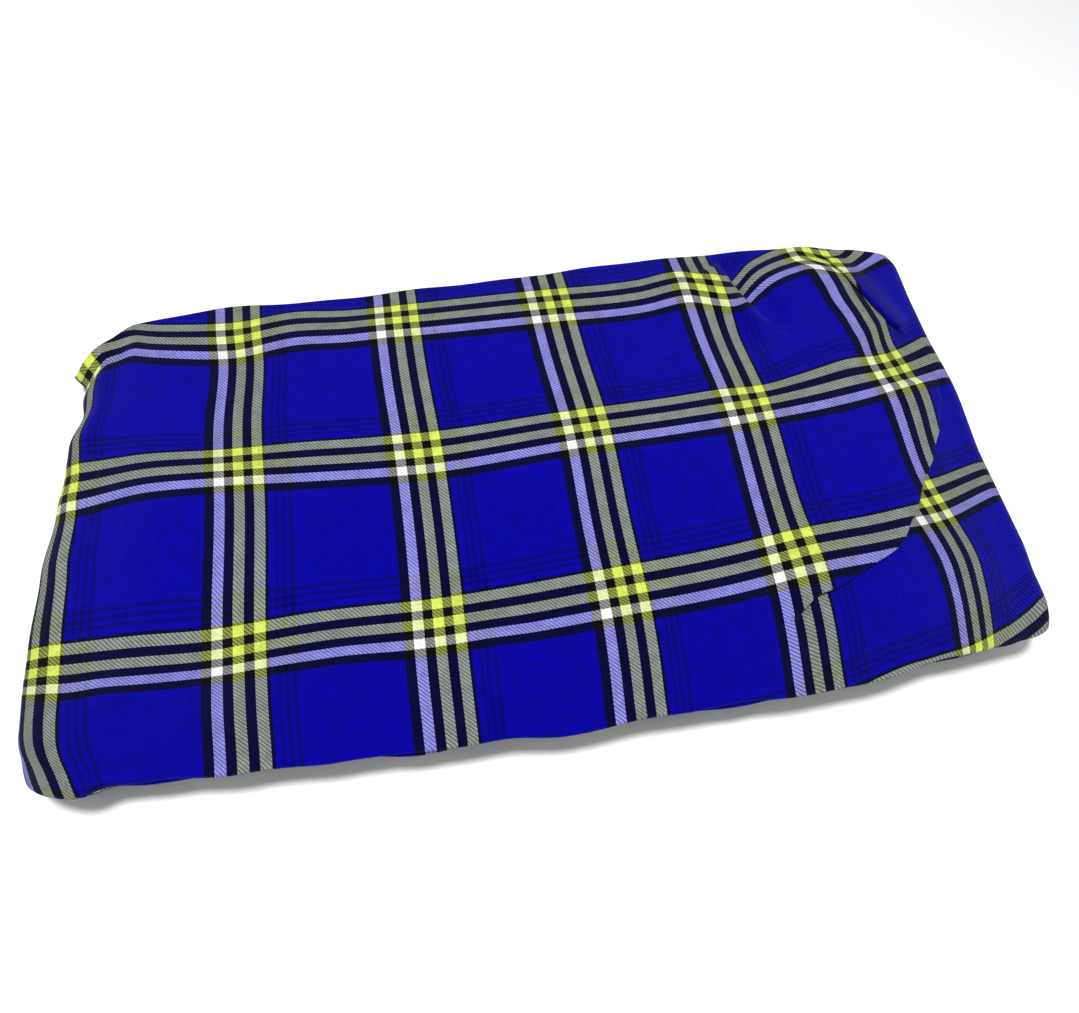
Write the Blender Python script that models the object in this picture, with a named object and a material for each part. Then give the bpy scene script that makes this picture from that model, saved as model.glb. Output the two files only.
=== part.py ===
"""A folded maasai shuka: one woven cloth of about 2.0 m by 1.4 m, lying as a soft flat packet.

Metres, +Z up. The origin is in the middle of the underside, on the surface that the packet lies on.
+X runs along the packet, from the thick rolled edge on the left to the thinner one on the right.
+Y runs across it, from the front edge to the back edge.

The cloth is first folded back and forth across its width, which gives a strip of five plies. The
strip is then halved twice along its length. So the section of the strip, a back-and-forth line of
plies a little apart, is swept along the path of the two halvings, and the finished shape is pulled
to the uneven outline, the swell and the creases of a packet that was folded by hand.
"""
import math
from collections import namedtuple

import bmesh
import bpy

# Packet and cloth
PACKET_LENGTH = 0.510
PACKET_DEPTH = 0.273
PLY_THICKNESS = 0.0011
PLY_PITCH = 0.0016
STRIP_PLIES = 5
STRIP_RUNS = 4

# Heights and bend radii that follow from the plies, on the middle line of the strip
STRIP_HEIGHT = STRIP_PLIES * PLY_PITCH
FLOOR_DROP = (PLY_PITCH - PLY_THICKNESS) / 2
PACKET_HEIGHT = STRIP_RUNS * STRIP_HEIGHT
BIG_BEND = (STRIP_RUNS - 1) / 2 * STRIP_HEIGHT
SMALL_BEND = STRIP_HEIGHT / 2
TOP_RUN_BASE = PACKET_HEIGHT - STRIP_HEIGHT
OUTER_PLY = (STRIP_PLIES - 1) / 2 * PLY_PITCH + PLY_THICKNESS / 2
RUN_LEFT = -PACKET_LENGTH / 2 + BIG_BEND + OUTER_PLY
RUN_RIGHT = PACKET_LENGTH / 2 - SMALL_BEND - OUTER_PLY
PLY_REACH = (PACKET_DEPTH - PLY_PITCH - PLY_THICKNESS) / 2

# Where the mesh has its points, as shares of a ply's half width and of a run's length
PLY_SHARES = (-1.0, -0.88, -0.64, -0.36, 0.0, 0.36, 0.64, 0.88, 1.0)
PLAIN_RUN_SHARES = (0.0, 0.12, 0.5, 0.88, 1.0)
TOP_RUN_SHARES = (0.0, 0.06, 0.16, 0.30, 0.44, 0.57, 0.68, 0.79, 0.90, 0.96, 1.0)
PLY_FOLD_STEPS = 3
BIG_BEND_STEPS = 8
SMALL_BEND_STEPS = 6
INNER_BEND_STEPS = 5

# The part of the top ply that carries the tuck and the main creases, and its finer points
FINE_FROM = (0.025, -0.100)
FINE_TO = (0.215, 0.100)
FINE_CUTS = 3

# How far each fold of the strip falls short of the longest one, from the inner ply to the outer one
FOLD_SHORTFALLS = (0.0014, 0.0004, 0.0022, 0.0)
FREE_EDGE_SHORTFALLS = (0.0030, 0.0008)

# The loose ends of the strip, which lie under the small bend, slipped past each other
LOOSE_END_REACH = 0.0035
LOOSE_END_SLIP = 0.0032

# How far each edge of the packet stands out of its straight line, along X or Y
EdgePoint = namedtuple("EdgePoint", "share out")
LEFT_EDGE = (EdgePoint(0.0, 0.0049), EdgePoint(0.06, 0.0025), EdgePoint(0.13, 0.0016),
             EdgePoint(0.22, 0.0019), EdgePoint(0.32, 0.0012), EdgePoint(0.45, -0.0013),
             EdgePoint(0.58, -0.0062), EdgePoint(0.66, -0.0088), EdgePoint(0.72, -0.0094),
             EdgePoint(0.84, -0.0159), EdgePoint(0.94, -0.012), EdgePoint(1.0, 0.0022))
RIGHT_EDGE = (EdgePoint(0.0, -0.0103), EdgePoint(0.1, -0.0093), EdgePoint(0.2, -0.0072),
              EdgePoint(0.38, -0.0068), EdgePoint(0.58, -0.0024), EdgePoint(0.7, -0.0037),
              EdgePoint(0.8, -0.0033), EdgePoint(1.0, -0.0014))
FRONT_EDGE = (EdgePoint(0.0, -0.0132), EdgePoint(0.05, -0.0115), EdgePoint(0.08, -0.015),
              EdgePoint(0.12, -0.0136), EdgePoint(0.2, -0.0117), EdgePoint(0.28, -0.0082),
              EdgePoint(0.36, -0.0045), EdgePoint(0.42, -0.005), EdgePoint(0.48, -0.0022),
              EdgePoint(0.54, -0.0018), EdgePoint(0.64, -0.0005), EdgePoint(0.76, 0.0),
              EdgePoint(0.86, -0.0034), EdgePoint(0.93, -0.0054), EdgePoint(1.0, -0.0079))
BACK_EDGE = (EdgePoint(0.0, -0.0112), EdgePoint(0.04, -0.0037), EdgePoint(0.08, 0.0013),
             EdgePoint(0.2, 0.0061), EdgePoint(0.35, 0.0018), EdgePoint(0.55, 0.0032),
             EdgePoint(0.78, 0.0033), EdgePoint(0.87, 0.0004), EdgePoint(0.94, -0.0073),
             EdgePoint(1.0, -0.013))
EDGE_PULL_DEPTH = 0.115

# Rounding of the corners in plan: at the top of the packet, and at its foot
Corner = namedtuple("Corner", "side_x side_y radius_top radius_foot")
CORNERS = (Corner(-1, 1, 0.046, 0.022), Corner(-1, -1, 0.034, 0.028),
           Corner(1, 1, 0.014, 0.018), Corner(1, -1, 0.016, 0.020))
CORNER_PULL = 0.29
FOOT_LEVEL = 0.2 * PACKET_HEIGHT
TOP_LEVEL = 0.8 * PACKET_HEIGHT

# The hand-folded look: plies drift to the front as they stack up, and the top run swells
DRIFT_X = 0.0015
DRIFT_Y = -0.0080
SWELL = 0.0032
SWELL_POWER = 4
BILLOW = 0.0020
WINDOW_X = 0.045
WINDOW_Y = 0.030

# The slanting tuck at the right: a curved step in the top ply, high inside the curve
TUCK_CENTRE = (0.111, 0.030)
TUCK_RADIUS = 0.126
TUCK_HEIGHT = 0.0034
TUCK_RISE = 0.040
TUCK_DROP = 0.011
TUCK_ANGLES = (-1.72, 0.05)
TUCK_FADE = 0.30

# Long creases and ridges of the top ply, from one point to another in plan
Crease = namedtuple("Crease", "from_x from_y to_x to_y half_width height")
CREASES = (Crease(0.139, 0.134, 0.161, 0.070, 0.014, -0.0030),
           Crease(0.120, 0.134, 0.134, 0.078, 0.016, 0.0022),
           Crease(0.198, 0.122, 0.226, 0.050, 0.014, 0.0022),
           Crease(-0.080, 0.125, -0.060, 0.040, 0.022, 0.0014),
           Crease(-0.215, -0.120, -0.165, -0.060, 0.018, -0.0016))

CLOTH_BLUE = (0.010, 0.004, 0.400, 1.0)
CLOTH_ROUGHNESS = 0.9

Station = namedtuple("Station", "x z heading slip")
SectionPoint = namedtuple("SectionPoint", "y h")


def smooth(value, low, high):
    """Goes from 0 at low to 1 at high, with no kink at either end."""
    share = min(1.0, max(0.0, (value - low) / (high - low)))
    return share * share * (3.0 - 2.0 * share)


def edge_out(edge, share):
    """How far an edge stands out at a share of its length."""
    for here, there in zip(edge, edge[1:]):
        if share <= there.share:
            return here.out + (there.out - here.out) * smooth(share, here.share, there.share)
    return edge[-1].out


def ply_line():
    """The middle line of the strip's section, as (y, h, heading), ply after ply from the inner one."""
    line = []
    shortfalls = (FREE_EDGE_SHORTFALLS[0],) + FOLD_SHORTFALLS + (FREE_EDGE_SHORTFALLS[1],)
    for ply in range(STRIP_PLIES):
        way = 1 if ply % 2 == 0 else -1
        height = (ply - (STRIP_PLIES - 1) / 2) * PLY_PITCH
        heading = 0.0 if way > 0 else math.pi
        start, end = PLY_REACH - shortfalls[ply], PLY_REACH - shortfalls[ply + 1]
        for share in PLY_SHARES:
            line.append((way * share * (start if share < 0 else end), height, heading))
        if ply == STRIP_PLIES - 1:
            break
        for step in range(1, PLY_FOLD_STEPS):
            turn = math.pi * step / PLY_FOLD_STEPS
            y = way * (end + PLY_PITCH / 2 * math.sin(turn))
            h = height + PLY_PITCH / 2 * (1 - math.cos(turn))
            line.append((y, h, turn if way > 0 else math.pi - turn))
    return line


def section():
    """The two sides of the back-and-forth section, point by point, half a ply off its middle line."""
    sides = {1: [], -1: []}
    for y, h, heading in ply_line():
        for side, points in sides.items():
            off = side * PLY_THICKNESS / 2
            points.append(SectionPoint(y - off * math.sin(heading), h + off * math.cos(heading)))
    return sides[1], sides[-1]


def run(from_x, to_x, height, heading, shares):
    """Stations along one flat run of the strip, with both of its ends."""
    return [Station(from_x + (to_x - from_x) * share, height, heading, 0.0) for share in shares]


def bend(centre_x, centre_z, radius, start, end, outside, steps):
    """Stations round a half turn of the strip, without its two ends.

    outside is 1 where the strip's outer ply lies outside the turn, and -1 where it lies inside it.
    """
    stations = []
    for step in range(1, steps):
        heading = start + (end - start) * step / steps
        x = centre_x - outside * radius * math.sin(heading)
        z = centre_z + outside * radius * math.cos(heading)
        stations.append(Station(x, z, heading, 0.0))
    return stations


def strip_path():
    """The path of the halved and halved again strip, from its lower loose end to its upper one."""
    half = math.pi
    level = [(number + 0.5) * STRIP_HEIGHT for number in range(STRIP_RUNS)]
    path = run(RUN_RIGHT, RUN_LEFT, level[0], half, PLAIN_RUN_SHARES)
    path += bend(RUN_LEFT, PACKET_HEIGHT / 2, BIG_BEND, half, 0.0, 1, BIG_BEND_STEPS)
    path += run(RUN_LEFT, RUN_RIGHT, level[3], 0.0, TOP_RUN_SHARES)
    path += bend(RUN_RIGHT, TOP_RUN_BASE, SMALL_BEND, 0.0, -half, 1, SMALL_BEND_STEPS)
    path += run(RUN_RIGHT, RUN_LEFT, level[2], -half, PLAIN_RUN_SHARES)
    path += bend(RUN_LEFT, PACKET_HEIGHT / 2, SMALL_BEND, -half, 0.0, -1, INNER_BEND_STEPS)
    path += run(RUN_LEFT, RUN_RIGHT, level[1], 0.0, PLAIN_RUN_SHARES)
    path[0] = path[0]._replace(x=RUN_RIGHT + LOOSE_END_REACH, slip=-LOOSE_END_SLIP)
    path[-1] = path[-1]._replace(x=RUN_RIGHT + LOOSE_END_REACH, slip=LOOSE_END_SLIP)
    return path


def crease_height(crease, x, y):
    """Height that one crease or ridge adds at a point in plan."""
    along_x, along_y = crease.to_x - crease.from_x, crease.to_y - crease.from_y
    length = math.hypot(along_x, along_y)
    along = ((x - crease.from_x) * along_x + (y - crease.from_y) * along_y) / length
    across = ((y - crease.from_y) * along_x - (x - crease.from_x) * along_y) / length
    ends = smooth(along, -crease.half_width, crease.half_width)
    ends *= 1 - smooth(along, length - crease.half_width, length + crease.half_width)
    return crease.height * ends * math.exp(-(across / crease.half_width) ** 2)


def tuck_height(x, y):
    """Height of the curved tuck: it climbs slowly inside the curve and drops at once outside it."""
    out_x, out_y = x - TUCK_CENTRE[0], y - TUCK_CENTRE[1]
    past = math.hypot(out_x, out_y) - TUCK_RADIUS
    angle = math.atan2(out_y, out_x)
    along = smooth(angle, TUCK_ANGLES[0] - TUCK_FADE, TUCK_ANGLES[0] + TUCK_FADE)
    along *= 1 - smooth(angle, TUCK_ANGLES[1], TUCK_ANGLES[1] + TUCK_FADE)
    across = smooth(past, -TUCK_RISE, 0.0) * (1 - smooth(past, 0.0, TUCK_DROP))
    return TUCK_HEIGHT * along * across


def top_window(x, y):
    """1 over the middle of the top face, 0 at its edges, so that the edges keep their fold."""
    in_x = smooth(x, RUN_LEFT, RUN_LEFT + WINDOW_X) * (1 - smooth(x, RUN_RIGHT - WINDOW_X, RUN_RIGHT))
    in_y = 1 - smooth(abs(y), PLY_REACH - WINDOW_Y, PLY_REACH)
    return in_x * in_y


def relief(x, y):
    """Height of the top ply's own billow, tuck and creases."""
    height = BILLOW + tuck_height(x, y) + sum(crease_height(crease, x, y) for crease in CREASES)
    return max(0.0, height) * top_window(x, y)


def swell(x, y, z):
    """The top run's plies stand further apart in the middle of the packet than at its edges."""
    level = max(0.0, (z - TOP_RUN_BASE) / STRIP_HEIGHT)
    across_x = (2 * x - RUN_RIGHT - RUN_LEFT) / (RUN_RIGHT - RUN_LEFT)
    across_y = y / PLY_REACH
    over_x = max(0.0, 1 - across_x ** SWELL_POWER)
    over_y = max(0.0, 1 - across_y ** SWELL_POWER)
    return SWELL * level * over_x * over_y


def pull(distance):
    """Share of an edge's shift that a point takes at a distance from the middle line of the packet."""
    return smooth(distance, 0.0, EDGE_PULL_DEPTH)


def outline(x, y, z):
    """Moves a point in plan, from the straight rectangle to the packet's uneven outline."""
    share_x = min(1.0, max(0.0, x / PACKET_LENGTH + 0.5))
    share_y = min(1.0, max(0.0, y / PACKET_DEPTH + 0.5))
    pull_x, pull_y = pull(abs(x)), pull(abs(y))
    shift_x = edge_out(RIGHT_EDGE, share_y) if x > 0 else -edge_out(LEFT_EDGE, share_y)
    shift_y = edge_out(BACK_EDGE, share_x) if y > 0 else -edge_out(FRONT_EDGE, share_x)
    new_x, new_y = x + shift_x * pull_x, y + shift_y * pull_y
    for corner in CORNERS:
        if x * corner.side_x <= 0 or y * corner.side_y <= 0:
            continue
        level = smooth(z, FOOT_LEVEL, TOP_LEVEL)
        radius = corner.radius_foot + (corner.radius_top - corner.radius_foot) * level
        past_x = max(0.0, abs(x) - PACKET_LENGTH / 2 + radius) / radius
        past_y = max(0.0, abs(y) - PACKET_DEPTH / 2 + radius) / radius
        new_x -= corner.side_x * CORNER_PULL * radius * past_y ** 2 * pull_x
        new_y -= corner.side_y * CORNER_PULL * radius * past_x ** 2 * pull_y
    rise = z / PACKET_HEIGHT
    return new_x + DRIFT_X * rise, new_y + DRIFT_Y * rise


def ruled(station, point):
    """One point of the straight packet, from a station on the path and a point of the section."""
    x = station.x - point.h * math.sin(station.heading) + station.slip * point.h / OUTER_PLY
    z = station.z + point.h * math.cos(station.heading) - FLOOR_DROP
    return x, point.y, z


def in_top_ply(place):
    """Whether a point of the straight packet belongs to the ply that makes its top face."""
    return place[2] > PACKET_HEIGHT - PLY_PITCH - FLOOR_DROP and RUN_LEFT < place[0] < RUN_RIGHT


def hand_folded(place):
    """Where a point of the straight packet lies once the packet has its swell, creases and outline."""
    x, y, z = place
    lifted = z + swell(x, y, z)
    if in_top_ply(place):
        lifted += relief(x, y)
    new_x, new_y = outline(x, y, z)
    return new_x, new_y, lifted


def refine_top(mesh):
    """Gives both faces of the top ply more points where the tuck and the main creases run."""
    edges = set()
    for face in mesh.faces:
        middle = face.calc_center_median()
        inside = all(FINE_FROM[axis] < middle[axis] < FINE_TO[axis] for axis in (0, 1))
        if inside and in_top_ply(middle):
            edges.update(face.edges)
    bmesh.ops.subdivide_edges(mesh, edges=list(edges), cuts=FINE_CUTS, use_grid_fill=True)


def build_cloth():
    """The folded cloth as one closed mesh: its section swept along the path, with both ends capped."""
    left, right = section()
    loop = left + right[::-1]
    mesh = bmesh.new()
    rings = [[mesh.verts.new(ruled(station, point)) for point in loop] for station in strip_path()]
    count = len(loop)
    for here, there in zip(rings, rings[1:]):
        for i in range(count):
            j = (i + 1) % count
            mesh.faces.new((here[i], here[j], there[j], there[i]))
    for ring in (rings[0], rings[-1]):
        for i in range(len(left) - 1):
            mesh.faces.new((ring[i], ring[i + 1], ring[count - 2 - i], ring[count - 1 - i]))
    refine_top(mesh)
    for vert in mesh.verts:
        vert.co = hand_folded(vert.co)
    bmesh.ops.triangulate(mesh, faces=mesh.faces)
    bmesh.ops.recalc_face_normals(mesh, faces=mesh.faces)
    return mesh


def centre_in_plan(mesh):
    """Moves the mesh in plan, so that the middle of its box stands on the origin."""
    for axis in (0, 1):
        reach = [vert.co[axis] for vert in mesh.verts]
        middle = (min(reach) + max(reach)) / 2
        for vert in mesh.verts:
            vert.co[axis] -= middle


def cloth_material():
    """Blue acrylic cloth, soft and matt."""
    material = bpy.data.materials.new("blue_check_cloth")
    material.use_nodes = True
    shader = material.node_tree.nodes["Principled BSDF"]
    shader.inputs["Base Color"].default_value = CLOTH_BLUE
    shader.inputs["Roughness"].default_value = CLOTH_ROUGHNESS
    shader.inputs["Metallic"].default_value = 0.0
    return material


def main():
    """Clears the scene and builds the folded cloth."""
    for old in list(bpy.data.objects):
        bpy.data.objects.remove(old)
    mesh = build_cloth()
    centre_in_plan(mesh)
    data = bpy.data.meshes.new("folded_cloth")
    mesh.to_mesh(data)
    mesh.free()
    data.materials.append(cloth_material())
    cloth = bpy.data.objects.new("folded_cloth", data)
    bpy.context.scene.collection.objects.link(cloth)


main()
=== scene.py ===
"""Looks of a folded maasai shuka: its woven cloth ply by ply, the check, and a plain studio.

Metres, +Z up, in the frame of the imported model. +X runs along the packet towards its thinner right
edge, +Y from the front edge to the back one.

The cloth is built once as a straight packet: a section of five back-and-forth plies is swept along
the path of two halvings. Then the top ply gets its slanting tuck, and every point is pulled to the
uneven shape of a packet that was folded by hand.
"""
import logging
import math
from dataclasses import dataclass, field
from enum import Enum
from typing import NamedTuple

import bmesh
import bpy
import numpy as np
from mathutils import Matrix, Vector


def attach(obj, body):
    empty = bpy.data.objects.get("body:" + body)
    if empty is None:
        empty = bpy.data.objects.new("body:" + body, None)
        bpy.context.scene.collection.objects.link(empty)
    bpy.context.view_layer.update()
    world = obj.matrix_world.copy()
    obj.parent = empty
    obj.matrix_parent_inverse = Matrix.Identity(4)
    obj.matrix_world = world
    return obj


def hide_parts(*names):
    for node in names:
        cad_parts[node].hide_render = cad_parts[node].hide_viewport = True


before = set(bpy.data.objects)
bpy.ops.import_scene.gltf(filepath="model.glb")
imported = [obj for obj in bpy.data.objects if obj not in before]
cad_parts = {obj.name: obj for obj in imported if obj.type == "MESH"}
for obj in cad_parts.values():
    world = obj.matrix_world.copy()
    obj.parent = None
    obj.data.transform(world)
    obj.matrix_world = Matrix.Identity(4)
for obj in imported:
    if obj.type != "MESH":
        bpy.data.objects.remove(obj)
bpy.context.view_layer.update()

log = logging.getLogger("shuka")
Table = tuple[tuple[float, float], ...]
Colour = tuple[float, float, float, float]


def smooth(value: np.ndarray, low: np.ndarray | float, high: np.ndarray | float) -> np.ndarray:
    """Goes from 0 at low to 1 at high, with no kink at either end."""
    share = np.clip((value - low) / (np.asarray(high) - low), 0.0, 1.0)
    return share * share * (3.0 - 2.0 * share)


def read_table(table: Table, at: np.ndarray) -> np.ndarray:
    """Reads a table of (place, value) pairs between its places, with no kink at any of them.

    Args:
        table: the pairs, with rising places.
        at: the places to read.

    Returns:
        The value at each place, and the first or last one past the table's ends.
    """
    places, values = np.array(table).T
    here = np.clip(np.searchsorted(places, at, side="right") - 1, 0, len(places) - 2)
    share = smooth(at, places[here], places[here + 1])
    return values[here] + (values[here + 1] - values[here]) * share


def read_curve(table: Table, at: np.ndarray) -> np.ndarray:
    """Reads a table of (place, value) pairs as one smooth curve through all of them.

    Args:
        table: the pairs, with rising places.
        at: the places to read.

    Returns:
        The value at each place, and the first or last one past the table's ends.
    """
    places, values = np.array(table).T
    at = np.clip(at, places[0], places[-1])
    here = np.clip(np.searchsorted(places, at, side="right") - 1, 0, len(places) - 2)
    slopes = np.gradient(values, places)
    span = places[here + 1] - places[here]
    share = (at - places[here]) / span
    bow = share * (1 - share) * span
    return read_table(table, at) + bow * (slopes[here] * (1 - share) - slopes[here + 1] * share)


@dataclass(frozen=True)
class PacketSizes:
    """Sizes of the straight packet. All but the ply's thickness are those of the CAD model."""

    length: float = 0.510
    depth: float = 0.273
    ply_thickness: float = 0.0013
    ply_pitch: float = 0.0016
    plies: int = 5
    runs: int = 4

    @property
    def strip_height(self) -> float:
        """Height of the strip of plies."""
        return self.plies * self.ply_pitch

    @property
    def height(self) -> float:
        """Height of the straight packet."""
        return self.runs * self.strip_height

    @property
    def floor_drop(self) -> float:
        """How far the middle lines are lowered, so that the lowest ply lies on the floor."""
        return (self.ply_pitch - self.ply_thickness) / 2

    @property
    def big_bend(self) -> float:
        """Radius of the strip's bend at the left, round all of the packet."""
        return (self.runs - 1) / 2 * self.strip_height

    @property
    def small_bend(self) -> float:
        """Radius of the strip's other bends, on its middle line."""
        return self.strip_height / 2

    @property
    def top_run_base(self) -> float:
        """Height at which the top run of the strip begins."""
        return self.height - self.strip_height

    @property
    def outer_ply(self) -> float:
        """From the strip's middle line to its outer face."""
        return (self.plies - 1) / 2 * self.ply_pitch + self.ply_thickness / 2

    @property
    def run_left(self) -> float:
        """Left end of the flat runs."""
        return -self.length / 2 + self.big_bend + self.outer_ply

    @property
    def run_right(self) -> float:
        """Right end of the flat runs."""
        return self.length / 2 - self.small_bend - self.outer_ply

    @property
    def ply_reach(self) -> float:
        """Half the width of a ply between its folds."""
        return (self.depth - self.ply_pitch - self.ply_thickness) / 2


class Corner(NamedTuple):
    """Rounding of one corner in plan, at the top of the packet and at its foot."""

    side_x: int
    side_y: int
    radius_top: float
    radius_foot: float


class Crease(NamedTuple):
    """A long soft ridge or dent of the top ply, from one point to another in plan."""

    from_x: float
    from_y: float
    to_x: float
    to_y: float
    half_width: float
    height: float


class Station(NamedTuple):
    """One place on the strip's path: where its middle line is, and which way it goes."""

    x: float
    z: float
    heading: float
    slip: float = 0.0


class TopSide(Enum):
    """Which face of the top ply a point belongs to, if any."""

    NONE = 0
    OUTER = 1
    INNER = -1


@dataclass
class ClothPoints:
    """The points of the cloth while it is shaped, all as arrays with a row for each point."""

    place: np.ndarray
    cloth: np.ndarray
    side: np.ndarray


@dataclass
class Strip:
    """The strip of five plies, halved twice: its section, its path and the mesh swept from them."""

    sizes: PacketSizes = field(default_factory=PacketSizes)
    fine_cuts: int = 84
    plain_cuts: int = 12
    fold_steps: int = 8
    edge_steps: int = 4
    edge_crowding: float = 1.35
    fold_bulge: float = 1.25
    shortfalls: tuple[float, ...] = (0.0030, 0.0014, 0.0004, 0.0022, 0.0, 0.0008)
    wave_reach: float = 0.0009
    wave_lengths: tuple[float, float] = (0.135, 0.052)
    wave_starts: tuple[float, float] = (2.1, 1.3)
    short_wave_share: float = 0.45
    run_cuts: int = 14
    coarse_step: float = 0.0046
    fine_step: float = 0.0027
    fine_from: float = 0.075
    bend_steps: tuple[int, int, int] = (22, 12, 10)
    loose_reach: float = 0.0035
    loose_slip: float = 0.0032

    def path(self) -> list[Station]:
        """The stations of the strip's path, from its lower loose end to its upper one."""
        sizes, half = self.sizes, math.pi
        left, right = sizes.run_left, sizes.run_right
        level = [(number + 0.5) * sizes.strip_height for number in range(sizes.runs)]
        plain = (1 - np.cos(np.linspace(0, math.pi, self.run_cuts + 1))) / 2
        big, small, inner = self.bend_steps
        stations = self._run(right, left, level[0], half, plain)
        stations += self._bend(left, sizes.height / 2, sizes.big_bend, (half, 0.0), 1, big)
        stations += self._run(left, right, level[3], 0.0, self._top_shares())
        stations += self._bend(right, sizes.top_run_base, sizes.small_bend, (0.0, -half), 1, small)
        stations += self._run(right, left, level[2], -half, plain)
        stations += self._bend(left, sizes.height / 2, sizes.small_bend, (-half, 0.0), -1, inner)
        stations += self._run(left, right, level[1], 0.0, plain)
        end = right + self.loose_reach
        stations[0] = stations[0]._replace(x=end, slip=-self.loose_slip)
        stations[-1] = stations[-1]._replace(x=end, slip=self.loose_slip)
        return stations

    def _top_shares(self) -> np.ndarray:
        """Shares of the top run at which it has stations, closer together round the tuck."""
        left, right = self.sizes.run_left, self.sizes.run_right
        coarse = np.linspace(left, self.fine_from, round((self.fine_from - left) / self.coarse_step))
        fine = np.linspace(self.fine_from, right, round((right - self.fine_from) / self.fine_step))
        return (np.concatenate((coarse, fine[1:])) - left) / (right - left)

    @staticmethod
    def _run(start: float, end: float, height: float, heading: float,
             shares: np.ndarray) -> list[Station]:
        """Stations along one flat run, with both of its ends."""
        return [Station(start + (end - start) * share, height, heading) for share in shares]

    @staticmethod
    def _bend(x: float, z: float, radius: float, turn: tuple[float, float], outside: int,
              steps: int) -> list[Station]:
        """Stations round a half turn, without its two ends.

        Args:
            x: the middle of the turn, along the packet.
            z: the middle of the turn, up from the floor.
            radius: the radius of the strip's middle line.
            turn: the heading at the start and at the end.
            outside: 1 where the strip's outer ply lies outside the turn, -1 where it lies inside.
            steps: how many parts the turn has.

        Returns:
            The stations between the two ends.
        """
        arm = outside * radius
        headings = np.linspace(turn[0], turn[1], steps + 1)[1:-1]
        return [Station(x - arm * math.sin(heading), z + arm * math.cos(heading), heading)
                for heading in headings]

    def _reach(self, fold: int, along: np.ndarray) -> np.ndarray:
        """How far a fold or a free edge lies from the middle, at places along the strip."""
        long_wave, short_wave = (math.tau * along / length for length in self.wave_lengths)
        long_start, short_start = self.wave_starts
        wave = np.sin(long_wave + long_start * fold)
        wave = wave + self.short_wave_share * np.sin(short_wave + short_start * fold * fold)
        return self.sizes.ply_reach - self.shortfalls[fold] + self.wave_reach * (wave - 1.0)

    def _middle_line(self, along: np.ndarray) -> tuple[np.ndarray, np.ndarray, np.ndarray]:
        """The middle line of the section at each station.

        Args:
            along: places along the strip, one for each station.

        Returns:
            The y, the height and the heading of each point, with a row for each station.
        """
        pitch = self.sizes.ply_pitch
        across, height, heading = [], [], []
        for ply in range(self.sizes.plies):
            way = 1 if ply % 2 == 0 else -1
            top = ply == self.sizes.plies - 1
            start, end = (self._reach(fold, along)[:, None] for fold in (ply, ply + 1))
            cuts = self.fine_cuts if top else self.plain_cuts
            shares = np.sin(np.linspace(-1, 1, cuts + 1) * self.edge_crowding)
            shares = (shares / shares[-1])[None]
            y = way * shares * np.where(shares < 0, start, end)
            level = (ply - (self.sizes.plies - 1) / 2) * pitch
            across.append(y)
            height.append(np.full_like(y, level))
            heading.append(np.full_like(y, 0.0 if way > 0 else math.pi))
            if top:
                break
            turn = math.pi * np.arange(1, self.fold_steps)[None] / self.fold_steps
            y = way * (end + self.fold_bulge * pitch / 2 * np.sin(turn))
            across.append(y)
            height.append(level + pitch / 2 * (1 - np.cos(turn)) + 0 * y)
            heading.append((turn if way > 0 else math.pi - turn) + 0 * y)
        return tuple(np.concatenate(part, axis=1) for part in (across, height, heading))

    def _loop(self, along: np.ndarray) -> tuple[np.ndarray, np.ndarray, np.ndarray, np.ndarray]:
        """The closed outline of the section at each station, round both faces of the cloth.

        Args:
            along: places along the strip, one for each station.

        Returns:
            The y, the height, the place across the flat cloth and the side of each point.
        """
        y, h, heading = self._middle_line(along)
        half = self.sizes.ply_thickness / 2
        steps = np.hypot(np.diff(y, axis=1), np.diff(h, axis=1))
        across = np.concatenate((np.zeros((len(y), 1)), np.cumsum(steps, axis=1)), axis=1)
        centre = y.shape[1] - 1 - self.fine_cuts // 2
        across -= across[:, centre:centre + 1]
        faces = [(y - off * np.sin(heading), h + off * np.cos(heading)) for off in (half, -half)]
        angles = math.pi * np.arange(1, self.edge_steps) / self.edge_steps
        far = (y[:, -1:] + half * np.sin(angles), h[:, -1:] + half * np.cos(angles))
        near = (y[:, :1] - half * np.sin(angles), h[:, :1] - half * np.cos(angles))
        loop_y, loop_h = (np.concatenate((outer, end, inner[:, ::-1], start), axis=1)
                          for outer, end, inner, start in zip(faces[0], far, faces[1], near))
        ends = [across[:, [index]] + 0 * angles for index in (-1, 0)]
        loop_a = np.concatenate((across, ends[0], across[:, ::-1], ends[1]), axis=1)
        side = np.zeros(loop_y.shape[1])
        count = y.shape[1]
        side[centre - self.fine_cuts // 2:count] = TopSide.OUTER.value
        start = count + self.edge_steps - 1
        side[start:start + self.fine_cuts + 1] = TopSide.INNER.value
        return loop_y, loop_h, loop_a, side

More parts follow.
